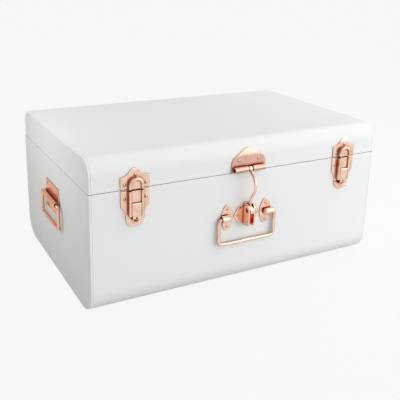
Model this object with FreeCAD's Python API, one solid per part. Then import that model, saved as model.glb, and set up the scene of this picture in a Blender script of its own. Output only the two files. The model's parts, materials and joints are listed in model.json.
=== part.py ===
import FreeCAD, Part
import math
import os
from collections import namedtuple

# A sheet-steel storage trunk with plated fittings. Sizes are in millimetres and angles in degrees.
# The origin is the middle of the underside, +Z is up, the front faces -Y and the left end faces -X.

Vec = FreeCAD.Vector

# Case
case_width = 560.0
case_depth = 380.0
base_height = 205.0
lid_height = 52.0
seam_gap = 1.0
lid_back_step = 7.0
base_corner = 40.0
lid_corner = 26.0
lid_open_angle = 100.0

# Sheet steel
sheet = 0.8
end_lip = 5.0
end_fold = 2.4
lip_groove = 0.4
hem_height = 5.0
weld_gap = 0.05

# Fits shared by all fittings
pin_gap = 0.05
run_gap = 0.3
slide_gap = 0.4
plate_edge_round = 0.7
bore_floor = 0.2

# Rivets
rivet_head_radius = 2.8
rivet_head_height = 1.3
rivet_shank_radius = 1.6
rivet_tail_radius = 2.6
rivet_tail_height = 0.8

# Latches
latch_inset = 75.0
latch_width = 48.0
latch_sheet = 1.6
latch_ogee_share = 0.6
latch_edge_gap = 1.2
strike_side = 20.0
strike_height = 33.0
latch_side = 28.0
latch_cove = 13.0
latch_foot_width = 32.0
latch_length = 62.0
latch_rivet_offset = 18.0
latch_rivet_drop = 14.0
hood_width = 24.0
hood_wall = 3.8
hood_depth = 9.0
hood_rivet_gap = 1.2
hood_round = 1.8
pad_depth = 5.8
pocket_rise = 10.0
bridge_length = 20.0
rail_length = 42.0
bolt_sheet = 1.0
bolt_engagement = 3.0
bolt_tail = 6.0
lever_pivot_drop = 23.0
lever_pin_radius = 1.25
lever_wall = 1.35
flap_length = 18.0
flap_sheet = 2.2
nose_width = 4.0
nose_height = 1.8
nose_play = 1.1
tab_width = 13.0
tab_sheet = 1.6
tab_straight = 9.0
tab_curl = 4.5
tab_hole_radius = 1.6

# Hasp
hasp_width = 67.0
hasp_edge_gap = 0.4
hasp_sheet = 1.6
hasp_side = 13.0
hasp_shoulder_inset = 8.0
hasp_shoulder_rise = 14.5
hasp_crown_half = 10.0
hasp_rivet_offset = 19.0
hasp_rivet_rise = 20.5
hasp_barrel_length = 60.0
hasp_barrel_bite = 0.4
hasp_pin_radius = 3.2
hasp_pin_recess = 3.0
hasp_eye_width = 6.0
hasp_eye_wall = 1.0
hasp_eye_gap = 2.0
hasp_rod_radius = 2.6
bow_depth = 25.0
bow_radius = 23.0
bow_rise = 9.0
neck_radius = 30.0
ring_radius = 8.2
ring_hole_radius = 4.3
ring_thickness = 6.8

# Lock
lock_drop = 76.0
lock_sheet = 1.6
lock_tip = 25.5
lock_shoulder = 17.0
lock_half_height = 14.5
lock_corner_round = 3.0
lock_rivet_offset = 19.0
jaw_web = 2.0
jaw_cheek = 2.6
jaw_depth = 19.0
jaw_top = 21.0
jaw_bottom = -18.0
jaw_floor = 3.0
jaw_round = 6.5
padlock_hole_radius = 4.0
padlock_hole_rise = 10.0

# Front bail
bail_drop_from_rim = 77.0
bail_bracket_offset = 38.4
bail_bracket_width = 23.0
bail_tunnel_length = 17.0
bail_tunnel_round = 4.5
bail_tunnel_floor = 3.0
bail_tunnel_overhang = 0.8
bail_bracket_height = 46.0
bail_bracket_end_radius = 6.0
bail_bracket_sheet = 1.6
bail_rivet_offset = 15.5
bail_wire_radius = 2.75
bail_play = 0.8
bail_half_width = 55.4
bail_drop = 45.0
bail_top_bend = 5.0
bail_bottom_bend = 8.0
bail_insertion = 10.0

# Side handles
handle_height = 137.0
handle_plate_width = 76.0
handle_plate_height = 53.0
handle_plate_sheet = 1.6
handle_plate_corner = 3.0
handle_rivet_across = 33.0
handle_rivet_up = 18.0
handle_clip_width = 78.0
handle_clip_height = 13.0
handle_clip_sheet = 0.8
handle_wire_radius = 3.0
handle_play = 0.5
handle_half_width = 50.0
handle_drop = 40.0
handle_top_bend = 5.0
handle_bottom_bend = 7.0
handle_insertion = 20.0

# Hinges
hinge_inset = 110.0
hinge_width = 64.0
hinge_sheet = 1.2
hinge_base_drop = 34.0
hinge_lid_rise = 23.0
hinge_pin_radius = 1.5
hinge_rim_clearance = 0.8
hinge_knuckles = 5
hinge_knuckle_gap = 0.3
hinge_rivet_spacing = 22.0
hinge_base_rivet_drop = 22.0
hinge_lid_rivet_rise = 16.0

# Lid stays
stay_radius = 90.0
stay_lid_angle = 10.0
stay_base_angle = 20.0
stay_width = 14.0
stay_sheet = 1.5
stay_pin_radius = 2.5
stay_head_radius = 5.0
stay_head_height = 1.5
stay_slot_margin = 1.0

# Places worked out from the sizes above
front_y = -case_depth / 2
back_y = case_depth / 2
end_x = case_width / 2
latch_offset = end_x - latch_inset
hinge_offset = end_x - hinge_inset
lid_rim = base_height + seam_gap
lid_top = lid_rim + lid_height
lid_back_y = back_y - lid_back_step
barrel_radius = (lid_back_step + hinge_sheet) / 2 - run_gap
hinge_y = (lid_back_y + back_y + hinge_sheet) / 2
hinge_z = base_height + barrel_radius + hinge_rim_clearance
lock_z = base_height - lock_drop
strike_rivet_rise = hem_height + rivet_tail_radius + slide_gap
strike_top_rivet_rise = lid_height - lid_corner - rivet_tail_radius - slide_gap
hood_height = strike_top_rivet_rise - rivet_head_radius - hood_rivet_gap
bail_z = base_height - bail_drop_from_rim

Tray = namedtuple("Tray", "front back rim far corner up")
base_tray = Tray(front_y, back_y, base_height, 0.0, base_corner, 1)
lid_tray = Tray(front_y, lid_back_y, lid_rim, lid_top, lid_corner, -1)


class Outline:
    """An outline in the XZ plane, drawn from point to point with lines and arcs."""

    def __init__(self, x, z):
        self.here = Vec(x, 0, z)
        self.start = self.here
        self.heading = None
        self.edges = []

    def line(self, x, z):
        there = Vec(x, 0, z)
        self.edges.append(Part.LineSegment(self.here, there).toShape())
        self.here = there
        return self

    def arc(self, x, z, leave=None, arrive=None):
        """An arc that leaves its start, or arrives at its end, along the direction given."""
        there = Vec(x, 0, z)
        chord = there - self.here
        along = Vec(chord).normalize()
        heading = leave if leave else arrive
        tangent = Vec(heading[0], 0, heading[1]).normalize()
        sideways = tangent - along * tangent.dot(along)
        sideways.normalize()
        if arrive:
            sideways = sideways * -1
        sagitta = chord.Length / 2 * math.tan(math.acos(tangent.dot(along)) / 2)
        middle = (self.here + there) * 0.5 + sideways * sagitta
        self.edges.append(Part.Arc(self.here, middle, there).toShape())
        self.here = there
        self.heading = tangent if arrive else along * (2 * tangent.dot(along)) - tangent
        return self

    def ogee(self, x, z, share):
        """Two arcs that leave and arrive level, and meet at a share of the way."""
        level = (math.copysign(1, x - self.here.x), 0)
        meet_x = self.here.x + share * (x - self.here.x)
        meet_z = self.here.z + share * (z - self.here.z)
        self.arc(meet_x, meet_z, leave=level)
        return self.arc(x, z, arrive=level)

    def straight_on(self, x):
        """A line that carries on from the last arc as far as x."""
        return self.line(x, self.here.z + (x - self.here.x) * self.heading.z / self.heading.x)

    def crown(self):
        """An arc that carries on from the last line and arrives level at x = 0."""
        climb = math.atan2(self.heading.z, -self.heading.x)
        return self.arc(0, self.here.z + self.here.x * math.tan(climb / 2), arrive=(-1, 0))

    def face(self):
        if (self.here - self.start).Length > 1e-6:
            self.line(self.start.x, self.start.z)
        return Part.Face(Part.Wire(self.edges))


def joined(first, *others):
    """Several touching or overlapping shapes as one clean solid."""
    return first.fuse(list(others)).removeSplitter()


def mirrored(shape):
    """The same shape on the other side of the YZ plane."""
    return shape.mirror(Vec(0, 0, 0), Vec(1, 0, 0))


def both_halves(half):
    return joined(half, mirrored(half))


def moved(shape, x, y, z):
    copy = shape.copy()
    copy.translate(Vec(x, y, z))
    return copy


def block(x, y, z):
    """A box between the two ends of each of its three ranges."""
    low = Vec(min(x), min(y), min(z))
    return Part.makeBox(max(x) - low.x, max(y) - low.y, max(z) - low.z, low)


def bar_across(radius, x, y, z):
    """A round bar along X between the two ends of its range."""
    return Part.makeCylinder(radius, max(x) - min(x), Vec(min(x), y, z), Vec(1, 0, 0))


def slab(face, near, far):
    """A fitting's outline given thickness, between two depths outside the wall at y = 0."""
    return moved(face, 0, -near, 0).extrude(Vec(0, near - far, 0))


def rectangle(half_width, low, high):
    return Outline(-half_width, low).line(half_width, low).line(half_width, high).line(-half_width, high).face()


def eased(plate, is_front, bend_z=None):
    """A plate with the edges of its front face rounded, but not the line along its bend."""
    edges = []
    for edge in plate.Edges:
        along_bend = bend_z is not None and abs(edge.CenterOfMass.z - bend_z) < 1e-6
        if all(is_front(vertex.Point) for vertex in edge.Vertexes) and not along_bend:
            edges.append(edge)
    return plate.makeFillet(plate_edge_round, edges)


def on_front(shape, x, z):
    """A fitting drawn on the wall at y = 0, set on the front of the trunk."""
    return moved(shape, x, front_y, z)


def on_left_end(shape, z):
    """A fitting drawn on the wall at y = 0, set on the middle of the left end."""
    turned = shape.copy()
    turned.rotate(Vec(0, 0, 0), Vec(0, 0, 1), -90)
    return moved(turned, -end_x, 0, z)


# The sheet-steel case

def tray_block(tray, inset, x_low, x_high, overshoot=0.0):
    """The filled space of the base or lid, drawn in all round, and run past the rim by overshoot."""
    front = tray.front + inset
    back = tray.back - inset
    far = tray.far + tray.up * inset
    rim = tray.rim + tray.up * overshoot
    corner = tray.corner - inset
    shoulder = far + tray.up * corner
    bulge = corner * (1 - math.sqrt(0.5))
    front_rim = Vec(x_low, front, rim)
    front_side = Vec(x_low, front, shoulder)
    front_bend = Vec(x_low, front + bulge, far + tray.up * bulge)
    front_foot = Vec(x_low, front + corner, far)
    back_foot = Vec(x_low, back - corner, far)
    back_bend = Vec(x_low, back - bulge, far + tray.up * bulge)
    back_side = Vec(x_low, back, shoulder)
    back_rim = Vec(x_low, back, rim)
    edges = [
        Part.LineSegment(front_rim, front_side).toShape(),
        Part.Arc(front_side, front_bend, front_foot).toShape(),
        Part.LineSegment(front_foot, back_foot).toShape(),
        Part.Arc(back_foot, back_bend, back_side).toShape(),
        Part.LineSegment(back_side, back_rim).toShape(),
        Part.LineSegment(back_rim, front_rim).toShape(),
    ]
    return Part.Face(Part.Wire(edges)).extrude(Vec(x_high - x_low, 0, 0))


def tray_band(tray, outer, inner, x_low, x_high):
    """A sheet bent round the tray's front, far side and back, between two insets."""
    beyond = 1.0
    filled = tray_block(tray, outer, x_low, x_high)
    hollow = tray_block(tray, inner, x_low - beyond, x_high + beyond, overshoot=beyond)
    return filled.cut(hollow)


def rim_slab(tray):
    """The level slice of space that the folded hem takes, just inside the rim."""
    return block((-end_x, end_x), (tray.front, tray.back), (tray.rim, tray.rim - tray.up * hem_height))


def wrap(tray):
    """The one sheet that makes front, far side and back, stepped in under the lips of the ends."""
    step_x = end_x - end_lip - lip_groove
    tuck_x = end_x - end_fold - weld_gap
    tuck = sheet + weld_gap
    pieces = [tray_band(tray, sheet, 2 * sheet, -step_x, step_x).common(rim_slab(tray))]
    for side in (-1, 1):
        step = sorted((side * (step_x - sheet), side * step_x))
        tucked = sorted((side * (step_x - sheet), side * tuck_x))
        pieces.append(tray_band(tray, 0, tuck + sheet, *step))
        pieces.append(tray_band(tray, tuck, tuck + sheet, *tucked))
    return joined(tray_band(tray, 0, sheet, -step_x, step_x), *pieces)


def fold_edges(solid, x, rim):
    """The edges of a pan's flat side, all but the one along the rim."""
    chosen = []
    for edge in solid.Edges:
        on_side = all(abs(vertex.X - x) < 1e-6 for vertex in edge.Vertexes)
        if on_side and abs(edge.CenterOfMass.z - rim) > 1e-6:
            chosen.append(edge)
    return chosen


def right_end(tray):
    """A flat end panel with its edge folded over the wrap and a hem along the rim."""
    beyond = 1.0
    outside = tray_block(tray, 0, end_x - end_lip, end_x)
    outside = outside.makeFillet(end_fold, fold_edges(outside, end_x, tray.rim))
    inside_x = end_x - sheet
    inside = tray_block(tray, sheet, end_x - end_lip - beyond, inside_x, overshoot=beyond)
    inside = inside.makeFillet(end_fold - sheet, fold_edges(inside, inside_x, tray.rim + tray.up * beyond))
    clear_of_wrap = 2 * (sheet + weld_gap)
    hem = block(
        (inside_x - sheet, inside_x),
        (tray.front + clear_of_wrap, tray.back - clear_of_wrap),
        (tray.rim, tray.rim - tray.up * hem_height),
    )
    return joined(outside.cut(inside), hem)


# Rivets

def rivet(seat, outward, grip):
    """A domed rivet with its head on the seat and its flattened tail beyond the grip."""
    sphere = (rivet_head_radius ** 2 + rivet_head_height ** 2) / (2 * rivet_head_height)
    half_angle = math.asin(rivet_head_radius / sphere) / 2
    crown = Vec(0, 0, rivet_head_height)
    rim = Vec(rivet_head_radius, 0, 0)
    side = Vec(sphere * math.sin(half_angle), 0, rivet_head_height - sphere * (1 - math.cos(half_angle)))
    corners = [
        rim,
        Vec(rivet_shank_radius, 0, 0),
        Vec(rivet_shank_radius, 0, -grip),
        Vec(rivet_tail_radius, 0, -grip),
        Vec(rivet_tail_radius, 0, -grip - rivet_tail_height),
        Vec(0, 0, -grip - rivet_tail_height),
        crown,
    ]
    edges = [Part.LineSegment(a, b).toShape() for a, b in zip(corners, corners[1:])]
    edges.append(Part.Arc(crown, side, rim).toShape())
    solid = Part.Face(Part.Wire(edges)).revolve(Vec(0, 0, 0), Vec(0, 0, 1), 360)
    solid.Placement = FreeCAD.Placement(seat, FreeCAD.Rotation(Vec(0, 0, 1), outward))
    return solid


def rivet_hole(seat, outward, grip):
    beyond = 1.0
    start = seat + outward * beyond
    return Part.makeCylinder(rivet_shank_radius + pin_gap, grip + 2 * beyond, start, outward * -1)


class RivetRow:
    """Rivets alike in direction and grip, with the holes that they pass through."""

    def __init__(self, seats, outward, grip):
        self.rivets = [rivet(seat, outward, grip) for seat in seats]
        self.holes = [rivet_hole(seat, outward, grip) for seat in seats]

    def solids(self):
        return Part.makeCompound(self.rivets)


def front_rivets(spots, plate):
    """Rivets through a plate on the front, at spots given as X and Z."""
    seats = [Vec(x, front_y - plate, z) for x, z in spots]
    return RivetRow(seats, Vec(0, -1, 0), plate + sheet)


# Latches, drawn about the middle of the latch and with z = 0 at the rim that carries them

rail_inside = hood_width / 2 - hood_wall
bolt_back = latch_sheet + slide_gap
bolt_front = bolt_back + bolt_sheet
lever_barrel = lever_pin_radius + lever_wall
pivot_depth = bolt_front + slide_gap + lever_barrel


def arch_face(half_width, low, top):
    """An arch with a half-round head."""
    spring = top - half_width
    outline = Outline(half_width, low).line(half_width, spring)
    outline.arc(0, top, leave=(0, 1)).arc(-half_width, spring, arrive=(0, -1))
    return outline.line(-half_width, low).face()


def rounded_front(solid, depth):
    """Rounds the edges of a raised bead where its front face ends, other than along the seam."""
    edges = []
    for edge in solid.Edges:
        on_front_face = all(abs(vertex.Y + depth) < 1e-6 for vertex in edge.Vertexes)
        level = abs(edge.BoundBox.ZMax - edge.BoundBox.ZMin) < 1e-6
        if on_front_face and not level:
            edges.append(edge)
    return solid.makeFillet(hood_round, edges)


def latch_strike():
    """The lid's half of a latch: a crowned plate with an arched hood over the bolt."""
    half = latch_width / 2
    low = latch_edge_gap
    crown = Outline(0, low).line(half, low).line(half, strike_side)
    crown.ogee(0, strike_height, latch_ogee_share)
    plate = both_halves(bent_over_lid(crown.face(), latch_sheet))
    hood = slab(arch_face(hood_width / 2, low, hood_height), latch_sheet / 2, hood_depth)
    window = arch_face(rail_inside, low - hood_depth, hood_height - hood_wall)
    hood = rounded_front(hood.cut(slab(window, pad_depth, 2 * hood_depth)), hood_depth)
    pocket = slab(rectangle(rail_inside, low - hood_depth, pocket_rise), latch_sheet, bolt_front + 2 * run_gap)
    return joined(plate, hood.cut(pocket))


def latch_plate():
    """The base's half of a latch: a plate with two rails, bridged over the bolt."""
    half = latch_width / 2
    foot = latch_foot_width / 2
    top = -latch_edge_gap
    round_z = foot - latch_length
    side = Outline(0, top).line(half, top).line(half, -latch_side)
    side.arc(foot, -latch_side - latch_cove, arrive=(0, -1)).line(foot, round_z)
    half_plate = slab(side.arc(0, -latch_length, leave=(0, -1)).face(), 0, latch_sheet)
    whole = eased(both_halves(half_plate), lambda point: abs(point.y + latch_sheet) < 1e-6)
    rail_face = rectangle(hood_wall / 2, -rail_length, top)
    rail = rounded_front(slab(rail_face, latch_sheet / 2, hood_depth), hood_depth)
    half_rail = moved(rail, rail_inside + hood_wall / 2, 0, 0)
    bridge = slab(rectangle(rail_inside, -bridge_length, top), bolt_front + slide_gap, pad_depth)
    plate = joined(whole, half_rail, mirrored(half_rail), bridge)
    return plate.cut(lever_pin_bar(pin_gap))


def lever_pin_bar(extra):
    reach = hood_width / 2
    return bar_across(lever_pin_radius + extra, (-reach, reach), -pivot_depth, -lever_pivot_drop)


def latch_bolt():
    """A flat bolt that slides between the rails, with a slot for the lever's nose."""
    half = rail_inside - run_gap
    low = -lever_pivot_drop - bolt_tail
    high = seam_gap + bolt_engagement
    strip = slab(rectangle(half, low, high), bolt_back, bolt_front)
    slot_half = nose_height / 2 + nose_play
    slot = rectangle(nose_width / 2 + slide_gap, -lever_pivot_drop - slot_half, -lever_pivot_drop + slot_half)
    return strip.cut(slab(slot, 0, pivot_depth))


def latch_lever():
    """The flap that swings out on its pin, with a curled finger tab and the nose that moves the bolt."""
    half = rail_inside - slide_gap
    barrel = bar_across(lever_barrel, (-half, half), -pivot_depth, -lever_pivot_drop)
    flap_end = -lever_pivot_drop - flap_length
    flap = slab(rectangle(half, flap_end, -lever_pivot_drop), pivot_depth, pivot_depth + flap_sheet)
    nose_low = -lever_pivot_drop - nose_height / 2
    nose = slab(rectangle(nose_width / 2, nose_low, nose_low + nose_height), bolt_back, pivot_depth)
    lever = joined(barrel, flap, nose, finger_tab(flap_end))
    return lever.cut(lever_pin_bar(pin_gap))


def finger_tab(top):
    """A narrow tab below the flap that curls outwards, with a rounded end and a small hole."""
    back = -pivot_depth
    low = top - tab_straight
    centre = back - tab_curl
    inner = tab_curl - tab_sheet
    half = tab_width / 2
    points = {
        "back_top": Vec(-half, back, top + flap_sheet),
        "back_low": Vec(-half, back, low),
        "under": Vec(-half, centre, low - tab_curl),
        "lip_out": Vec(-half, centre - tab_curl, low),
        "lip_in": Vec(-half, centre - inner, low),
        "cup": Vec(-half, centre, low - inner),
        "front_low": Vec(-half, back - tab_sheet, low),
        "front_top": Vec(-half, back - tab_sheet, top + flap_sheet),
    }
    edges = [
        Part.LineSegment(points["back_top"], points["back_low"]).toShape(),
        Part.Arc(points["back_low"], points["under"], points["lip_out"]).toShape(),
        Part.LineSegment(points["lip_out"], points["lip_in"]).toShape(),
        Part.Arc(points["lip_in"], points["cup"], points["front_low"]).toShape(),
        Part.LineSegment(points["front_low"], points["front_top"]).toShape(),
        Part.LineSegment(points["front_top"], points["back_top"]).toShape(),
    ]
    curl = Part.Face(Part.Wire(edges)).extrude(Vec(tab_width, 0, 0))
    shield = Outline(half, top + flap_sheet).line(-half, top + flap_sheet).line(-half, low + tab_curl)
    shield.arc(0, low - tab_curl, leave=(0, -1)).arc(half, low + tab_curl, arrive=(0, 1))
    rounded = curl.common(slab(shield.face(), 0, 2 * (pivot_depth + tab_curl)))
    hole = Part.makeCylinder(tab_hole_radius, 2 * pivot_depth, Vec(0, 0, top - tab_straight / 2), Vec(0, -1, 0))
    return rounded.cut(hole)


def bent_over_lid(face, thickness):
    """A plate drawn with z = 0 at the lid's rim, formed to lie on the lid's front and its top corner."""
    blank = on_front(slab(face, -lid_corner, 2 * thickness), 0, lid_rim)
    reach = blank.BoundBox
    skin = tray_band(lid_tray, -thickness, 0, reach.XMin, reach.XMax)
    return moved(blank.common(skin), 0, -front_y, -lid_rim)


# Hasp, drawn with z = 0 at the lid's rim

hasp_pin_depth = hasp_sheet + hasp_pin_radius + hasp_eye_wall + run_gap
hasp_barrel = hasp_pin_depth - hasp_sheet + hasp_barrel_bite
hasp_pin_rise = hasp_barrel + hasp_edge_gap
ring_depth = lock_sheet + jaw_web + run_gap + ring_radius
ring_rise = lock_z + padlock_hole_rise - lid_rim


def hasp_plate():
    """A crowned plate whose lower edge is rolled into two knuckles for the arm's pin."""
    half = hasp_width / 2
    low = hasp_edge_gap
    inner = half - hasp_shoulder_inset
    outline = Outline(0, low).line(half, low).line(half, hasp_side)
    outline.arc(inner, hasp_side + hasp_shoulder_rise, leave=(0, 1))
    outline.straight_on(hasp_crown_half).crown()
    plate = eased_hasp(both_halves(bent_over_lid(outline.face(), hasp_sheet)))
    knuckle = bar_across(
        hasp_barrel,
        (hasp_eye_width / 2 + hasp_eye_gap, hasp_barrel_length / 2),
        -hasp_pin_depth,
        hasp_pin_rise,
    )
    wall = block((0, hasp_width), (0, hasp_barrel), (-hasp_width, hasp_width))
    knuckle = knuckle.cut(wall)
    return joined(plate, knuckle, mirrored(knuckle)).cut(hasp_pin_bar(pin_gap, 0))


def eased_hasp(plate):
    """The hasp's plate, formed over the lid's corner, with the edges of its outer face rounded."""
    bend_z = lid_height - lid_corner

    def is_outer(point):
        if point.z < bend_z:
            return abs(point.y + hasp_sheet) < 1e-6
        return abs(math.hypot(point.y - lid_corner, point.z - bend_z) - lid_corner - hasp_sheet) < 1e-6

    return eased(plate, is_outer, bend_z)


def hasp_pin_bar(extra, recess):
    """The round space of the hasp's pin, which ends short of the barrel's ends by its recess."""
    reach = hasp_barrel_length / 2 - recess
    return bar_across(hasp_pin_radius + extra, (-reach, reach), -hasp_pin_depth, hasp_pin_rise)


def hasp_arm():
    """A swan-necked rod from its eye on the pin, bowed outwards and down to a ring for a padlock."""
    bow_y = bow_radius - bow_depth
    bow_z = (hasp_pin_rise + ring_rise) / 2 + bow_rise
    neck_y = -ring_depth - neck_radius
    neck_z = bow_z - math.sqrt((bow_radius + neck_radius) ** 2 - (neck_y - bow_y) ** 2)
    pin = Vec(0, -hasp_pin_depth, hasp_pin_rise)
    bow = Vec(0, bow_y, bow_z)
    neck = Vec(0, neck_y, neck_z)
    to_pin = pin - bow
    leave_angle = math.atan2(to_pin.z, -to_pin.y) - math.acos(bow_radius / to_pin.Length)
    join_angle = math.atan2(neck_z - bow_z, bow_y - neck_y)
    bow_start = on_circle(bow, bow_radius, leave_angle)
    bow_middle = on_circle(bow, bow_radius, (leave_angle + join_angle) / 2)
    bow_end = on_circle(bow, bow_radius, join_angle)
    neck_middle = on_circle(neck, neck_radius, math.pi + join_angle / 2)
    neck_end = on_circle(neck, neck_radius, math.pi)
    ring_top = Vec(0, -ring_depth, ring_rise + ring_hole_radius + (ring_radius - ring_hole_radius) / 2)
    path = [
        Part.LineSegment(pin, bow_start).toShape(),
        Part.Arc(bow_start, bow_middle, bow_end).toShape(),
        Part.Arc(bow_end, neck_middle, neck_end).toShape(),
        Part.LineSegment(neck_end, ring_top).toShape(),
    ]
    eye_half = hasp_eye_width / 2
    eye = bar_across(hasp_pin_radius + hasp_eye_wall, (-eye_half, eye_half), pin.y, pin.z)
    ring_half = ring_thickness / 2
    ring = bar_across(ring_radius, (-ring_half, ring_half), -ring_depth, ring_rise)
    arm = joined(rod(path, hasp_rod_radius), eye, ring)
    ring_hole = bar_across(ring_hole_radius, (-ring_radius, ring_radius), -ring_depth, ring_rise)
    return arm.cut([hasp_pin_bar(pin_gap, 0), ring_hole])


def on_circle(centre, radius, angle):
    """A point on a circle in the YZ plane, at an angle from straight out of the front."""
    return centre + Vec(0, -radius * math.cos(angle), radius * math.sin(angle))


def rod(path, radius):
    """A round rod along a path of lines and tangent arcs."""
    wire = Part.Wire(path)
    first = path[0]
    start = first.valueAt(first.FirstParameter)
    heading = first.tangentAt(first.FirstParameter)
    section = Part.Wire([Part.makeCircle(radius, start, heading)])
    return wire.makePipeShell([section], True, False)


# Lock, drawn with z = 0 at the height of its rivets

def lock_plate():
    """A six-sided plate, pointed at both sides and rounded at its corners."""
    half = Outline(0, -lock_half_height).line(lock_shoulder, -lock_half_height).line(lock_tip, 0)
    half.line(lock_shoulder, lock_half_height).line(0, lock_half_height)
    plate = both_halves(slab(half.face(), 0, lock_sheet))
    corners = [edge for edge in plate.Edges if edge.BoundBox.YLength > lock_sheet / 2]
    rounded = plate.makeFillet(lock_corner_round, corners)
    return eased(rounded, lambda point: abs(point.y + lock_sheet) < 1e-6)


def lock_jaw():
    """Two cheeks with a padlock hole, joined by a web and a floor, open at the front and top."""
    inside = ring_thickness / 2 + 2 * run_gap
    outside = inside + jaw_cheek
    front = -jaw_depth
    web_front = -lock_sheet - jaw_web
    web = block((-outside, outside), (-lock_sheet, web_front), (jaw_bottom, jaw_top))
    floor = block((-outside, outside), (web_front, front + jaw_round), (jaw_bottom, jaw_bottom + jaw_floor))
    cheek = block((inside, outside), (-lock_sheet, front), (jaw_bottom, jaw_top))
    corners = [edge for edge in cheek.Edges if is_front_corner(edge, front)]
    cheek = cheek.makeFillet(jaw_round, corners)
    jaw = joined(web, floor, cheek, mirrored(cheek))
    hole = bar_across(padlock_hole_radius, (-2 * outside, 2 * outside), -ring_depth, padlock_hole_rise)
    return jaw.cut(hole)


def is_front_corner(edge, front):
    """Whether an edge runs across a cheek at one of its two front corners."""
    across = abs(edge.BoundBox.XMax - edge.BoundBox.XMin) > jaw_cheek / 2
    return across and abs(edge.CenterOfMass.y - front) < 1e-6


# Bails

def bail_path(half_width, drop, top_bend, bottom_bend, inner, depth):
    """The line of a bail that hangs from two inward ends at z = 0 and at a depth out from the wall."""
    corners = [
        (Vec(-half_width, -depth, 0), Vec(-1, 0, 0), Vec(0, 0, -1), top_bend),
        (Vec(-half_width, -depth, -drop), Vec(0, 0, -1), Vec(1, 0, 0), bottom_bend),
        (Vec(half_width, -depth, -drop), Vec(1, 0, 0), Vec(0, 0, 1), bottom_bend),
        (Vec(half_width, -depth, 0), Vec(0, 0, 1), Vec(-1, 0, 0), top_bend),
    ]
    here = Vec(-inner, -depth, 0)
    edges = []
    for corner, arriving, leaving, bend in corners:
        start = corner - arriving * bend
        end = corner + leaving * bend
        middle = corner + (leaving - arriving) * (bend * (1 - math.sqrt(0.5)))
        edges.append(Part.LineSegment(here, start).toShape())
        edges.append(Part.Arc(start, middle, end).toShape())
        here = end
    edges.append(Part.LineSegment(here, Vec(inner, -depth, 0)).toShape())
    return edges


bail_bore = bail_wire_radius + run_gap + bail_play
bail_depth = bail_bracket_sheet + bore_floor + bail_bore
handle_bore = handle_wire_radius + run_gap + handle_play
handle_depth = handle_plate_sheet + handle_clip_sheet + bore_floor + handle_bore


def front_bail():
    inner = bail_bracket_offset + bail_bracket_width / 2 - bail_insertion
    path = bail_path(bail_half_width, bail_drop, bail_top_bend, bail_bottom_bend, inner, bail_depth)
    return moved(rod(path, bail_wire_radius), 0, 0, -bail_play)


def half_oval(half_width, half_height, end_radius):
    """The right half of an oval: flat arcs at its sides that run smoothly into its round ends."""
    flatness = half_width ** 2 + half_height ** 2 - 2 * half_height * end_radius
    side_radius = flatness / (2 * (half_width - end_radius))
    share = side_radius / (side_radius - end_radius)
    join_x = (1 - share) * (half_width - side_radius)
    join_z = share * (half_height - end_radius)
    outline = Outline(0, -half_height).arc(join_x, -join_z, leave=(1, 0)).arc(half_width, 0, arrive=(0, 1))
    return outline.arc(join_x, join_z, leave=(0, 1)).arc(0, half_height, arrive=(-1, 0)).face()


def bail_bracket():
    """The left oval plate, with a raised tunnel for the end of the bail that is shut and rounded inside."""
    half_face = half_oval(bail_bracket_width / 2, bail_bracket_height / 2, bail_bracket_end_radius)
    plate = both_halves(slab(half_face, 0, bail_bracket_sheet))
    plate = eased(plate, lambda point: abs(point.y + bail_bracket_sheet) < 1e-6)
    mouth = -bail_bracket_width / 2 - bail_tunnel_overhang
    shut = mouth + bail_tunnel_length
    tunnel = bar_across(bail_bore + bail_bracket_sheet, (mouth, shut), -bail_depth, 0)
    ends = [edge for edge in tunnel.Edges if abs(edge.CenterOfMass.x - shut) < 1e-6]
    tunnel = tunnel.makeFillet(bail_tunnel_round, ends)
    bore = bar_across(bail_bore, (2 * mouth, shut - bail_tunnel_floor), -bail_depth, 0)
    return joined(plate, tunnel).cut(bore)


def handle_plate():
    half = handle_plate_width / 2
    plate = slab(
        rectangle(half, -handle_plate_height / 2, handle_plate_height / 2), 0, handle_plate_sheet
    )
    corners = [edge for edge in plate.Edges if edge.BoundBox.YLength > handle_plate_sheet / 2]
    rounded = plate.makeFillet(handle_plate_corner, corners)
    return eased(rounded, lambda point: abs(point.y + handle_plate_sheet) < 1e-6)


def handle_clip():
    """A strap with a half-round barrel that holds the ends of the bail."""
    half = handle_clip_width / 2
    strap_front = handle_plate_sheet + handle_clip_sheet
    strap_face = rectangle(half, -handle_clip_height / 2, handle_clip_height / 2)
    strap = slab(strap_face, handle_plate_sheet, strap_front)
    barrel = bar_across(handle_bore + handle_clip_sheet, (-half, half), -handle_depth, 0)
    barrel = barrel.common(slab(strap_face, handle_plate_sheet, 2 * handle_depth))
    bore = bar_across(handle_bore, (-2 * half, 2 * half), -handle_depth, 0)
    return joined(strap, barrel).cut(bore)


def handle_bail():
    inner = handle_clip_width / 2 - handle_insertion
    path = bail_path(handle_half_width, handle_drop, handle_top_bend, handle_bottom_bend, inner, handle_depth)
    return moved(rod(path, handle_wire_radius), 0, 0, -handle_play)


# Hinges at the back

def knuckle_spans(centre, first):
    """The X ranges of every second knuckle of a hinge, beginning with the first or second."""
    length = hinge_width / hinge_knuckles
    left = centre - hinge_width / 2
    return [(left + n * length, left + (n + 1) * length) for n in range(first, hinge_knuckles, 2)]


def hinge_leaf(centre, wall_y, z_range, own, other):
    """A leaf flat on its wall, with its knuckles on the hinge line and room for the other leaf's."""
    half = hinge_width / 2
    plate = block((centre - half, centre + half), (wall_y, wall_y + hinge_sheet), z_range)
    room = [bar_across(barrel_radius + run_gap, span, hinge_y, hinge_z) for span in other]
    gap = hinge_knuckle_gap / 2
    knuckles = [bar_across(barrel_radius, (low + gap, high - gap), hinge_y, hinge_z) for low, high in own]
    return joined(plate.cut(room), *knuckles).cut(hinge_pin(centre, pin_gap))


def hinge_pin(centre, extra):
    half = hinge_width / 2
    return bar_across(hinge_pin_radius + extra, (centre - half, centre + half), hinge_y, hinge_z)


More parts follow.
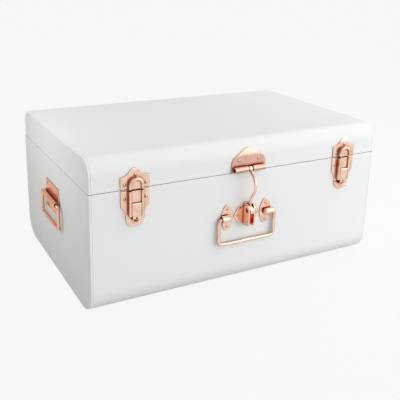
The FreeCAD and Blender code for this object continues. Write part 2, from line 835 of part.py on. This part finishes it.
def hinge_pieces(centre):
    """The base leaf, the lid leaf and the pin of one hinge."""
    base_knuckles = knuckle_spans(centre, 0)
    lid_knuckles = knuckle_spans(centre, 1)
    base_range = (base_height - hinge_base_drop, hinge_z)
    lid_range = (lid_rim, lid_rim + hinge_lid_rise)
    base_leaf = hinge_leaf(centre, back_y, base_range, base_knuckles, lid_knuckles)
    lid_leaf = hinge_leaf(centre, lid_back_y, lid_range, lid_knuckles, base_knuckles)
    return base_leaf, lid_leaf, hinge_pin(centre, 0)


def hinge_rivets(wall_y, z):
    spots = []
    for centre in (-hinge_offset, hinge_offset):
        for step in (-1, 0, 1):
            spots.append(Vec(centre + step * hinge_rivet_spacing, wall_y + hinge_sheet, z))
    return RivetRow(spots, Vec(0, 1, 0), hinge_sheet + sheet)


# Lid stays, drawn on the right end

stay_wall_x = end_x - sheet
stay_shoulder = sheet + run_gap + slide_gap
stay_outer_x = stay_wall_x - stay_shoulder - run_gap
lid_rise = math.radians(stay_lid_angle)
base_fall = math.radians(stay_base_angle)
stay_pivot = Vec(0, hinge_y - stay_radius * math.cos(lid_rise), hinge_z + stay_radius * math.sin(lid_rise))
stay_guide = Vec(0, hinge_y - stay_radius * math.cos(base_fall), hinge_z - stay_radius * math.sin(base_fall))


def stay_stud(place):
    """A headed stud welded to the inside of an end, with a shoulder that holds the stay off the hem."""
    neck_length = stay_sheet + 2 * run_gap
    inward = Vec(-1, 0, 0)
    foot = Vec(stay_wall_x, place.y, place.z)
    shoulder = Part.makeCylinder(stay_head_radius, stay_shoulder, foot, inward)
    neck_start = foot + inward * stay_shoulder
    neck = Part.makeCylinder(stay_pin_radius, neck_length, neck_start, inward)
    head = Part.makeCylinder(stay_head_radius, stay_head_height, neck_start + inward * neck_length, inward)
    return joined(shoulder, neck, head)


def right_stay():
    """A slotted bar that pivots on the lid's stud and slides on the base's stud."""
    closed_reach = (stay_guide - stay_pivot).Length
    spread = math.radians(stay_lid_angle + stay_base_angle + lid_open_angle)
    open_reach = 2 * stay_radius * math.sin(spread / 2)
    slot_half = stay_pin_radius + run_gap
    slot = stadium(slot_half, -closed_reach + stay_slot_margin, -open_reach - stay_slot_margin)
    length = open_reach + stay_slot_margin + stay_width / 2
    bar = stadium(stay_width / 2, 0, -length)
    pivot_hole = Part.makeCylinder(stay_pin_radius + pin_gap, stay_sheet, Vec(0, 0, 0), Vec(1, 0, 0))
    stay = bar.cut([slot, pivot_hole])
    along = stay_guide - stay_pivot
    stay.rotate(Vec(0, 0, 0), Vec(1, 0, 0), math.degrees(math.atan2(along.y, -along.z)))
    return moved(stay, stay_outer_x - stay_sheet, stay_pivot.y, stay_pivot.z)


def stadium(half_width, high, low):
    """A strip along Z with half-round ends, as thick as a stay."""
    top = Vec(0, 0, high)
    foot = Vec(0, 0, low)
    strip = block((0, stay_sheet), (-half_width, half_width), (low, high))
    ends = [Part.makeCylinder(half_width, stay_sheet, point, Vec(1, 0, 0)) for point in (top, foot)]
    return joined(strip, *ends)


def build():
    """Every piece of the trunk, by name."""
    strike_spots = []
    latch_spots = []
    for centre in (-latch_offset, latch_offset):
        strike_spots.append((centre, lid_rim + strike_top_rivet_rise))
        for side in (-1, 1):
            strike_spots.append((centre + side * latch_rivet_offset, lid_rim + strike_rivet_rise))
            latch_spots.append((centre + side * latch_rivet_offset, base_height - latch_rivet_drop))
    strike_rivets = front_rivets(strike_spots, latch_sheet)
    latch_rivets = front_rivets(latch_spots, latch_sheet)
    hasp_spots = [(side * hasp_rivet_offset, lid_rim + hasp_rivet_rise) for side in (-1, 1)]
    hasp_rivets = front_rivets(hasp_spots, hasp_sheet)
    lock_rivets = front_rivets([(side * lock_rivet_offset, lock_z) for side in (-1, 1)], lock_sheet)
    bail_spots = []
    for side in (-1, 1):
        for step in (-1, 1):
            bail_spots.append((side * bail_bracket_offset, bail_z + step * bail_rivet_offset))
    bail_rivets = front_rivets(bail_spots, bail_bracket_sheet)
    handle_seats = []
    for across in (-1, 1):
        for up in (-1, 1):
            rise = handle_height + up * handle_rivet_up
            handle_seats.append(Vec(-end_x - handle_plate_sheet, across * handle_rivet_across, rise))
    handle_rivets = RivetRow(handle_seats, Vec(-1, 0, 0), handle_plate_sheet + sheet)
    hinge_base_rivets = hinge_rivets(back_y, base_height - hinge_base_rivet_drop)
    hinge_lid_rivets = hinge_rivets(lid_back_y, lid_rim + hinge_lid_rivet_rise)

    pieces = {}
    base_rows = (latch_rivets, lock_rivets, bail_rivets, hinge_base_rivets)
    pieces["base_wrap"] = wrap(base_tray).cut([hole for row in base_rows for hole in row.holes])
    base_right = right_end(base_tray)
    base_left = mirrored(base_right).cut(handle_rivets.holes)
    pieces["base_end_left"] = base_left
    pieces["base_end_right"] = mirrored(base_left)
    lid_rows = (strike_rivets, hasp_rivets, hinge_lid_rivets)
    pieces["lid_wrap"] = wrap(lid_tray).cut([hole for row in lid_rows for hole in row.holes])
    pieces["lid_end_right"] = right_end(lid_tray)
    pieces["lid_end_left"] = mirrored(pieces["lid_end_right"])

    strike = latch_strike()
    plate = latch_plate()
    for name, centre in (("left", -latch_offset), ("right", latch_offset)):
        pieces[name + "_latch_strike"] = on_front(strike, centre, lid_rim).cut(strike_rivets.holes)
        pieces[name + "_latch_plate"] = on_front(plate, centre, base_height).cut(latch_rivets.holes)
        pieces[name + "_latch_bolt"] = on_front(latch_bolt(), centre, base_height)
        pieces[name + "_latch_lever"] = on_front(latch_lever(), centre, base_height)
        pieces[name + "_latch_pin"] = on_front(lever_pin_bar(0), centre, base_height)
    pieces["latch_strike_rivets"] = strike_rivets.solids()
    pieces["latch_plate_rivets"] = latch_rivets.solids()

    pieces["hasp_plate"] = on_front(hasp_plate(), 0, lid_rim).cut(hasp_rivets.holes)
    pieces["hasp_pin"] = on_front(hasp_pin_bar(0, hasp_pin_recess), 0, lid_rim)
    pieces["hasp_arm"] = on_front(hasp_arm(), 0, lid_rim)
    pieces["hasp_rivets"] = hasp_rivets.solids()
    pieces["lock_plate"] = on_front(lock_plate(), 0, lock_z).cut(lock_rivets.holes)
    pieces["lock_jaw"] = on_front(lock_jaw(), 0, lock_z)
    pieces["lock_rivets"] = lock_rivets.solids()

    bracket = on_front(bail_bracket(), -bail_bracket_offset, bail_z).cut(bail_rivets.holes)
    pieces["front_bail_bracket_left"] = bracket
    pieces["front_bail_bracket_right"] = mirrored(bracket)
    pieces["front_bail"] = on_front(front_bail(), 0, bail_z)
    pieces["front_bail_rivets"] = bail_rivets.solids()

    handle = {
        "handle_plate": on_left_end(handle_plate(), handle_height).cut(handle_rivets.holes),
        "handle_clip": on_left_end(handle_clip(), handle_height),
        "handle_bail": on_left_end(handle_bail(), handle_height),
    }
    for name, shape in handle.items():
        pieces["left_" + name] = shape
        pieces["right_" + name] = mirrored(shape)
    pieces["handle_rivets"] = Part.makeCompound([handle_rivets.solids(), mirrored(handle_rivets.solids())])

    for name, centre in (("left", -hinge_offset), ("right", hinge_offset)):
        base_leaf, lid_leaf, pin = hinge_pieces(centre)
        pieces[name + "_hinge_base_leaf"] = base_leaf.cut(hinge_base_rivets.holes)
        pieces[name + "_hinge_lid_leaf"] = lid_leaf.cut(hinge_lid_rivets.holes)
        pieces[name + "_hinge_pin"] = pin
    pieces["hinge_base_rivets"] = hinge_base_rivets.solids()
    pieces["hinge_lid_rivets"] = hinge_lid_rivets.solids()

    pieces["right_stay"] = right_stay()
    pieces["left_stay"] = mirrored(pieces["right_stay"])
    for name, place in (("stay_pivot_studs", stay_pivot), ("stay_guide_studs", stay_guide)):
        stud = stay_stud(place)
        pieces[name] = Part.makeCompound([stud, mirrored(stud)])
    return pieces


os.makedirs("parts", exist_ok=True)
for node, shape in build().items():
    shape.exportStep("parts/" + node + ".step")
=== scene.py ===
import json
import math
from collections import namedtuple

import bpy
from mathutils import Matrix, Vector

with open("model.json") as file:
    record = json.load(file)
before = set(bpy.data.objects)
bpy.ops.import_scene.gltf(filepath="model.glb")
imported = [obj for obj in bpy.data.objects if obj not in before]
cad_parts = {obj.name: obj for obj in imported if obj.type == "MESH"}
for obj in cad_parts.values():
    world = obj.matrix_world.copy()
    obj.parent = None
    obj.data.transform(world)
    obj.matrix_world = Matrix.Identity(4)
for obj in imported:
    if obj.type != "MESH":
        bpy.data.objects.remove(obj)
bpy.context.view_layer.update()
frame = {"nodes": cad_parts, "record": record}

# The looks of a painted steel trunk with copper-plated fittings.
# Lengths are in metres, angles in radians, and a fineness is a count of patches per metre.
scene = bpy.context.scene
nodes_of_cad = frame["nodes"]

# Camera, as found from the edges of the trunk in the photograph
camera_place = Vector((-0.5556, -1.0270, 0.5388))
camera_yaw = 0.5050
camera_pitch = 0.2902
camera_roll = 0.0248
camera_lens_mm = 56.53
sensor_mm = 36.0
camera_shift_up = -0.125

# Floor and background
floor_half = 8.0
floor_grey = (0.62, 0.62, 0.62)
floor_mottle_share = 0.97
floor_mottle_fineness = 3.0
floor_rough = 0.95
pale_glow = (0.985, 0.985, 0.985)
pale_share = 0.90
background_white = (0.922, 0.922, 0.922)

# Light of the room: an even part, and wide glows that fade between the cosines of their heart and edge
room_light = 0.44
Glow = namedtuple("Glow", "name direction edge heart strength")
glows = [
    Glow("right_glow", direction=(0.75, -0.65, 0.3), edge=0.0, heart=0.9, strength=0.30),
    Glow("front_glow", direction=(0.1, -1.0, 0.3), edge=0.0, heart=0.9, strength=0.48),
    Glow("back_left_glow", direction=(-0.4, 0.9, 0.25), edge=0.70, heart=0.95, strength=0.30),
    Glow("left_shade", direction=(-1.0, -0.1, 0.1), edge=0.0, heart=0.9, strength=-0.28),
]

# Lamps, with their power in watts
Lamp = namedtuple("Lamp", "name place aim size power colour")
lamps = [
    Lamp("right_front_lamp", place=(1.10, -1.30, 0.60), aim=(0.15, -0.15, 0.12), size=1.4, power=10.8,
         colour=(0.975, 0.97, 1.0)),
    Lamp("overhead_lamp", place=(0.95, 0.20, 1.20), aim=(0.25, 0.05, 0.20), size=1.0, power=6.2,
         colour=(0.985, 1.0, 0.99)),
    Lamp("left_end_lamp", place=(-0.56, 0.02, 0.37), aim=(-0.28, 0.0, 0.22), size=0.22, power=0.56,
         colour=(1.0, 1.0, 0.985)),
]

# White powder coat
paint_white = (0.835, 0.842, 0.836)
paint_shade = (0.800, 0.808, 0.802)
# painted highlight: paler colour along the folded edges, standing in for light caught on the rounded folds
painted_highlight_rim = (0.930, 0.930, 0.925)
# painted shade: darker colour in gaps and against the fittings, standing in for contact shadow
painted_gap_shade = (0.420, 0.330, 0.270)
paint_cloud_size = 0.16
paint_cloud_contrast = 1.4
painted_highlight_width = 0.0035
painted_highlight_strength = 4.0
# reach and bounds of the painted shade in the gaps
painted_gap_shade_reach = 0.004
painted_gap_shade_shut = 0.35
painted_gap_shade_open = 0.75
paint_peel_fineness = 700.0
paint_peel_strength = 0.10
paint_peel_depth = 0.0002
paint_drift_fineness = 22.0
paint_smooth = 0.50
paint_rough = 0.58
paint_shine = 0.15

# Copper plating, which differs a little from one kind of fitting to another; each kind's corner shade
# colour is painted shade in corners and gaps
Copper = namedtuple("Copper", "name light deep tarnish smooth rough tarnish_reach")
coppers = {
    "plate": Copper(
        "copper_plate", light=(0.960, 0.735, 0.615), deep=(0.800, 0.480, 0.335),
        tarnish=(0.270, 0.050, 0.020), smooth=0.10, rough=0.20, tarnish_reach=0.009),
    # painted shade: a darker copy of the copper, standing in for the darker reflection on the hasp plate
    "hasp_plate": Copper(
        "shaded_satin_copper", light=(0.660, 0.425, 0.345), deep=(0.580, 0.345, 0.265),
        tarnish=(0.300, 0.070, 0.032), smooth=0.28, rough=0.38, tarnish_reach=0.007),
    "lock": Copper(
        "orange_copper", light=(0.940, 0.670, 0.530), deep=(0.850, 0.525, 0.375),
        tarnish=(0.640, 0.190, 0.090), smooth=0.10, rough=0.20, tarnish_reach=0.007),
    "handle": Copper(
        "deep_copper", light=(0.880, 0.540, 0.400), deep=(0.760, 0.400, 0.280),
        tarnish=(0.420, 0.120, 0.055), smooth=0.12, rough=0.22, tarnish_reach=0.0035),
    # painted shade: a darker copy of the copper, standing in for the shade and dark reflections on the
    # small rivet heads
    "rivet": Copper(
        "shaded_rivet_copper", light=(0.640, 0.440, 0.350), deep=(0.500, 0.310, 0.230),
        tarnish=(0.130, 0.060, 0.040), smooth=0.12, rough=0.22, tarnish_reach=0.009),
}
copper_kinds_by_name = ("rivet", "hasp_plate", "lock", "handle")
copper_rim_tint = (0.900, 0.660, 0.550)
copper_cloud_size = 0.018
copper_cloud_contrast = 1.6
# painted highlight: paler colour along the edges of the fittings, standing in for light caught on their
# rounded edges
copper_painted_highlight = (0.990, 0.850, 0.760)
copper_painted_highlight_width = 0.0011
copper_painted_highlight_strength = 5.0
# bounds of the painted shade in the corners of the fittings
copper_corner_shade_shut = 0.42
copper_corner_shade_open = 0.92
copper_edge_round = 0.0008
copper_polish_fineness = 1500.0
copper_polish_stretch = (1.0, 1.0, 0.06)
copper_polish_strength = 0.05
copper_polish_depth = 0.0001
copper_smear_fineness = 90.0
copper_smear_layers = 3.0

# Zinc plate
zinc_light = (0.62, 0.63, 0.64)
zinc_dark = (0.44, 0.45, 0.47)
zinc_crystal_fineness = 260.0
zinc_smooth = 0.30
zinc_rough = 0.45
zinc_grain_fineness = 900.0
zinc_grain_strength = 0.08
zinc_grain_depth = 0.0001

# Noise and sampling that the finishes share
noise_layers = 2.0
noise_low = 0.3
noise_high = 0.7
cloud_layers = 3.0
cloud_harshness = 0.55
cloud_middle = 0.5
bevel_samples = 6
crevice_samples = 8

# Colour sockets of the Mix node, by number, because their names repeat for every kind of value
mix_factor = 0
mix_first_colour = 6
mix_second_colour = 7
mix_colour_result = 2


def rgba(colour):
    return (colour[0], colour[1], colour[2], 1.0)


class NodeSheet:
    """A node tree being written: adds nodes and joins their sockets."""

    def __init__(self, tree):
        self.tree = tree

    def join(self, socket, value):
        """Links a socket to another one, or sets it to a constant."""
        if isinstance(value, bpy.types.NodeSocket):
            self.tree.links.new(value, socket)
        else:
            socket.default_value = value

    def feed(self, node, name, value):
        self.join(node.inputs[name], value)

    def add(self, kind, settings=None, **inputs):
        """A new node. Spaces in the names of its inputs are written as underscores."""
        node = self.tree.nodes.new(kind)
        for name, value in (settings or {}).items():
            setattr(node, name, value)
        for name, value in inputs.items():
            self.feed(node, name.replace("_", " "), value)
        return node

    def place(self):
        """The place on a piece, in its own axes."""
        return self.add("ShaderNodeTexCoord").outputs["Object"]

    def noise(self, place, fineness, layers=noise_layers):
        """Smooth random values over a surface."""
        node = self.add("ShaderNodeTexNoise", Vector=place, Scale=fineness, Detail=layers)
        return node.outputs["Fac"]

    def maths(self, operation, first, second):
        node = self.add("ShaderNodeMath", {"operation": operation})
        self.join(node.inputs[0], first)
        self.join(node.inputs[1], second)
        return node.outputs[0]

    def dot(self, first, second):
        """The cosine between two directions."""
        node = self.add("ShaderNodeVectorMath", {"operation": "DOT_PRODUCT"})
        self.join(node.inputs[0], first)
        self.join(node.inputs[1], second)
        return node.outputs["Value"]

    def blend(self, factor, first, second):
        """A colour between two colours."""
        node = self.add("ShaderNodeMix", {"data_type": "RGBA"})
        self.join(node.inputs[mix_factor], factor)
        self.join(node.inputs[mix_first_colour], first)
        self.join(node.inputs[mix_second_colour], second)
        return node.outputs[mix_colour_result]

    def span(self, value, low, high, to_low, to_high):
        """A value carried smoothly from one range to another, held at both ends."""
        node = self.add("ShaderNodeMapRange", {"interpolation_type": "SMOOTHSTEP"}, Value=value)
        self.feed(node, "From Min", low)
        self.feed(node, "From Max", high)
        self.feed(node, "To Min", to_low)
        self.feed(node, "To Max", to_high)
        return node.outputs["Result"]


def new_group(name, inputs, output):
    """A shader node group with numbers as its inputs and output, and the sheet to write it on."""
    group = bpy.data.node_groups.new(name, "ShaderNodeTree")
    for socket_name in inputs:
        group.interface.new_socket(socket_name, in_out="INPUT", socket_type="NodeSocketFloat")
    group.interface.new_socket(output, in_out="OUTPUT", socket_type="NodeSocketFloat")
    sheet = NodeSheet(group)
    given = sheet.add("NodeGroupInput").outputs
    result = sheet.add("NodeGroupOutput")
    return group, sheet, given, result


def new_material(name):
    material = bpy.data.materials.new(name)
    material.use_nodes = True
    sheet = NodeSheet(material.node_tree)
    shader = material.node_tree.nodes["Principled BSDF"]
    return material, sheet, shader


# Effects that several finishes share

def make_cloudy_tone():
    """Slow, soft changes of tone over a surface, from 0 to 1."""
    group, sheet, given, result = new_group("cloudy_tone", ["Patch Size", "Contrast"], "Tone")
    fineness = sheet.maths("DIVIDE", 1.0, given["Patch Size"])
    noise = sheet.add("ShaderNodeTexNoise", Vector=sheet.place(), Scale=fineness, Detail=cloud_layers,
                      Roughness=cloud_harshness)
    centred = sheet.maths("SUBTRACT", noise.outputs["Fac"], cloud_middle)
    widened = sheet.maths("MULTIPLY", centred, given["Contrast"])
    tone = sheet.add("ShaderNodeClamp", Value=sheet.maths("ADD", widened, cloud_middle))
    sheet.feed(result, "Tone", tone.outputs[0])
    return group


def make_edge_mask():
    """A mask that is 1 along outer edges and fades over the width given."""
    group, sheet, given, result = new_group("edge_mask", ["Width", "Strength"], "Edge")
    rounded = sheet.add("ShaderNodeBevel", {"samples": bevel_samples}, Radius=given["Width"])
    plain = sheet.add("ShaderNodeNewGeometry")
    turned = sheet.maths("SUBTRACT", 1.0, sheet.dot(rounded.outputs["Normal"], plain.outputs["Normal"]))
    mask = sheet.add("ShaderNodeClamp", Value=sheet.maths("MULTIPLY", turned, given["Strength"]))
    sheet.feed(result, "Edge", mask.outputs[0])
    return group


def make_crevice_mask():
    """A mask that is 1 deep in corners and gaps, and 0 on open faces."""
    group, sheet, given, result = new_group("crevice_mask", ["Reach", "Shut", "Open"], "Crevice")
    nearby = sheet.add("ShaderNodeAmbientOcclusion", {"samples": crevice_samples}, Distance=given["Reach"])
    mask = sheet.span(nearby.outputs["AO"], given["Shut"], given["Open"], 1.0, 0.0)
    sheet.feed(result, "Crevice", mask)
    return group


def effect(sheet, group, **inputs):
    """A shared effect placed in a material with its own values."""
    return sheet.add("ShaderNodeGroup", {"node_tree": group}, **inputs).outputs[0]


cloudy_tone = make_cloudy_tone()
crevice_mask = make_crevice_mask()
edge_mask = make_edge_mask()


# Finishes

def make_white_powder_coat():
    """Satin white paint: an orange-peel skin, faint clouds of tone, a painted highlight along the folds and
    painted shade in the gaps.
    """
    material, sheet, shader = new_material("white_powder_coat")
    clouds = effect(sheet, cloudy_tone, Patch_Size=paint_cloud_size, Contrast=paint_cloud_contrast)
    edge = effect(sheet, edge_mask, Width=painted_highlight_width, Strength=painted_highlight_strength)
    crevice = effect(sheet, crevice_mask, Reach=painted_gap_shade_reach, Shut=painted_gap_shade_shut,
                     Open=painted_gap_shade_open)
    clouded = sheet.blend(clouds, rgba(paint_shade), rgba(paint_white))
    # painted highlight along the folded edges
    rim_highlighted = sheet.blend(edge, clouded, rgba(painted_highlight_rim))
    # painted shade in the gaps and around the fittings
    sheet.feed(shader, "Base Color", sheet.blend(crevice, rim_highlighted, rgba(painted_gap_shade)))
    place = sheet.place()
    drift = sheet.noise(place, paint_drift_fineness)
    sheet.feed(shader, "Roughness", sheet.span(drift, noise_low, noise_high, paint_smooth, paint_rough))
    peel = sheet.noise(place, paint_peel_fineness)
    bump = sheet.add("ShaderNodeBump", Strength=paint_peel_strength, Distance=paint_peel_depth, Height=peel)
    sheet.feed(shader, "Normal", bump.outputs[0])
    sheet.feed(shader, "Specular IOR Level", paint_shine)
    return material


def make_copper(copper):
    """Polished plating: faint lines, patches of deeper tone, a painted highlight along the edges and
    painted shade in corners.
    """
    material, sheet, shader = new_material(copper.name)
    clouds = effect(sheet, cloudy_tone, Patch_Size=copper_cloud_size, Contrast=copper_cloud_contrast)
    edge = effect(sheet, edge_mask, Width=copper_painted_highlight_width, Strength=copper_painted_highlight_strength)
    crevice = effect(sheet, crevice_mask, Reach=copper.tarnish_reach, Shut=copper_corner_shade_shut,
                     Open=copper_corner_shade_open)
    patchy = sheet.blend(clouds, rgba(copper.deep), rgba(copper.light))
    # painted highlight along the edges of the fittings
    edge_highlighted = sheet.blend(edge, patchy, rgba(copper_painted_highlight))
    # painted shade in the corners and gaps of the fittings
    sheet.feed(shader, "Base Color", sheet.blend(crevice, edge_highlighted, rgba(copper.tarnish)))
    sheet.feed(shader, "Metallic", 1.0)
    sheet.feed(shader, "Specular Tint", rgba(copper_rim_tint))
    place = sheet.place()
    smear = sheet.noise(place, copper_smear_fineness, copper_smear_layers)
    sheet.feed(shader, "Roughness", sheet.span(smear, noise_low, noise_high, copper.smooth, copper.rough))
    lines = sheet.add("ShaderNodeMapping", Vector=place, Scale=copper_polish_stretch)
    polish = sheet.noise(lines.outputs[0], copper_polish_fineness)
    soft_edge = sheet.add("ShaderNodeBevel", {"samples": bevel_samples}, Radius=copper_edge_round)
    bump = sheet.add("ShaderNodeBump", Strength=copper_polish_strength, Distance=copper_polish_depth,
                     Height=polish, Normal=soft_edge.outputs[0])
    sheet.feed(shader, "Normal", bump.outputs[0])
    return material


def make_zinc_plate():
    """Plain zinc plate on the lid stays, with a faint crystal pattern."""
    material, sheet, shader = new_material("zinc_plate")
    place = sheet.place()
    crystals = sheet.add("ShaderNodeTexVoronoi", Vector=place, Scale=zinc_crystal_fineness)
    tone = sheet.add("ShaderNodeSeparateColor", Color=crystals.outputs["Color"]).outputs[0]
    sheet.feed(shader, "Base Color", sheet.blend(tone, rgba(zinc_dark), rgba(zinc_light)))
    sheet.feed(shader, "Metallic", 1.0)
    sheet.feed(shader, "Roughness", sheet.span(tone, 0.0, 1.0, zinc_smooth, zinc_rough))
    grain = sheet.noise(place, zinc_grain_fineness)
    bump = sheet.add("ShaderNodeBump", Strength=zinc_grain_strength, Distance=zinc_grain_depth,
                     Height=grain)
    sheet.feed(shader, "Normal", bump.outputs[0])
    return material


powder_coat = make_white_powder_coat()
copper_finishes = {kind: make_copper(copper) for kind, copper in coppers.items()}
zinc_plate = make_zinc_plate()


def finish_of(node, slot):
    """The finish of a piece: paint, zinc, or the copper of its kind of fitting."""
    if slot == "white_steel":
        return powder_coat
    if slot == "zinc_steel":
        return zinc_plate
    for kind in copper_kinds_by_name:
        if kind in node:
            return copper_finishes[kind]
    return copper_finishes["plate"]


for part in frame["record"]["subparts"]:
    skin = nodes_of_cad[part["node"]]
    skin.data.materials.clear()
    skin.data.materials.append(finish_of(part["node"], part["material_slot"]))


# Studio

def seen_ray(sheet):
    """1 for what the eye sees directly, in a mirror or through glass, and 0 for light that is scattered."""
    path = sheet.add("ShaderNodeLightPath")
    mirrored = sheet.maths("MAXIMUM", path.outputs["Is Glossy Ray"], path.outputs["Is Transmission Ray"])
    return sheet.maths("MAXIMUM", path.outputs["Is Camera Ray"], mirrored)


def make_floor_finish():
    """Grey to the light that it bounces, and pale to the eye."""
    material, sheet, shader = new_material("studio_floor")
    mottle = sheet.noise(sheet.place(), floor_mottle_fineness)
    darker = tuple(floor_mottle_share * channel for channel in floor_grey)
    sheet.feed(shader, "Base Color", sheet.blend(mottle, rgba(darker), rgba(floor_grey)))
    sheet.feed(shader, "Roughness", floor_rough)
    sheet.feed(shader, "Specular IOR Level", 0.0)
    glow = sheet.add("ShaderNodeEmission", Color=rgba(pale_glow), Strength=1.0)
    share = sheet.maths("MULTIPLY", seen_ray(sheet), pale_share)
    mixed = sheet.add("ShaderNodeMixShader", Fac=share)
    sheet.join(mixed.inputs[1], shader.outputs[0])
    sheet.join(mixed.inputs[2], glow.outputs[0])
    sheet.feed(sheet.tree.nodes["Material Output"], "Surface", mixed.outputs[0])
    return material


def make_floor():
    """A wide floor, which takes the trunk's shadow."""
    corners = [(-floor_half, -floor_half, 0), (floor_half, -floor_half, 0),
               (floor_half, floor_half, 0), (-floor_half, floor_half, 0)]
    mesh = bpy.data.meshes.new("studio_floor")
    mesh.from_pydata(corners, [], [(0, 1, 2, 3)])
    mesh.materials.append(make_floor_finish())
    floor = bpy.data.objects.new("studio_floor", mesh)
    scene.collection.objects.link(floor)


def glow_towards(sheet, way, glow):
    """Light from round one direction."""
    facing = sheet.dot(way, Vector(glow.direction).normalized())
    light = sheet.span(facing, glow.edge, glow.heart, 0.0, glow.strength)
    light.node.name = glow.name
    return light


def make_world():
    """A softly lit room with wide glows, and the pale background where the eye looks past the floor."""
    world = bpy.data.worlds.new("studio")
    world.use_nodes = True
    scene.world = world
    sheet = NodeSheet(world.node_tree)
    way = sheet.add("ShaderNodeTexCoord").outputs["Generated"]
    total = sheet.add("ShaderNodeValue", {"name": "room_light"}).outputs[0]
    total.default_value = room_light
    for glow in glows:
        total = sheet.maths("ADD", total, glow_towards(sheet, way, glow))
    room = sheet.add("ShaderNodeCombineColor", Red=total, Green=total, Blue=total).outputs[0]
    seen = sheet.add("ShaderNodeLightPath").outputs["Is Camera Ray"]
    background = world.node_tree.nodes["Background"]
    sheet.feed(background, "Color", sheet.blend(seen, room, rgba(background_white)))
    sheet.feed(background, "Strength", 1.0)


def make_lamp(lamp):
    """A square soft box that faces its aim."""
    data = bpy.data.lights.new(lamp.name, "AREA")
    data.shape = "SQUARE"
    data.size = lamp.size
    data.energy = lamp.power
    data.color = lamp.colour
    light = bpy.data.objects.new(lamp.name, data)
    light.location = lamp.place
    facing = Vector(lamp.aim) - Vector(lamp.place)
    light.rotation_euler = facing.to_track_quat("-Z", "Y").to_euler()
    scene.collection.objects.link(light)


def make_camera():
    """The photograph's viewpoint."""
    forward = Vector((math.sin(camera_yaw) * math.cos(camera_pitch),
                      math.cos(camera_yaw) * math.cos(camera_pitch),
                      -math.sin(camera_pitch)))
    level = Vector((math.cos(camera_yaw), -math.sin(camera_yaw), 0))
    above = level.cross(forward)
    right = level * math.cos(camera_roll) + above * math.sin(camera_roll)
    up = above * math.cos(camera_roll) - level * math.sin(camera_roll)
    data = bpy.data.cameras.new("photo_camera")
    data.lens = camera_lens_mm
    data.sensor_width = sensor_mm
    data.shift_y = camera_shift_up
    camera = bpy.data.objects.new("photo_camera", data)
    axes = Matrix((right, up, -forward)).transposed()
    camera.matrix_world = Matrix.Translation(camera_place) @ axes.to_4x4()
    scene.collection.objects.link(camera)
    scene.camera = camera


make_floor()
make_world()
for each_lamp in lamps:
    make_lamp(each_lamp)
make_camera()
scene.view_settings.view_transform = "Standard"
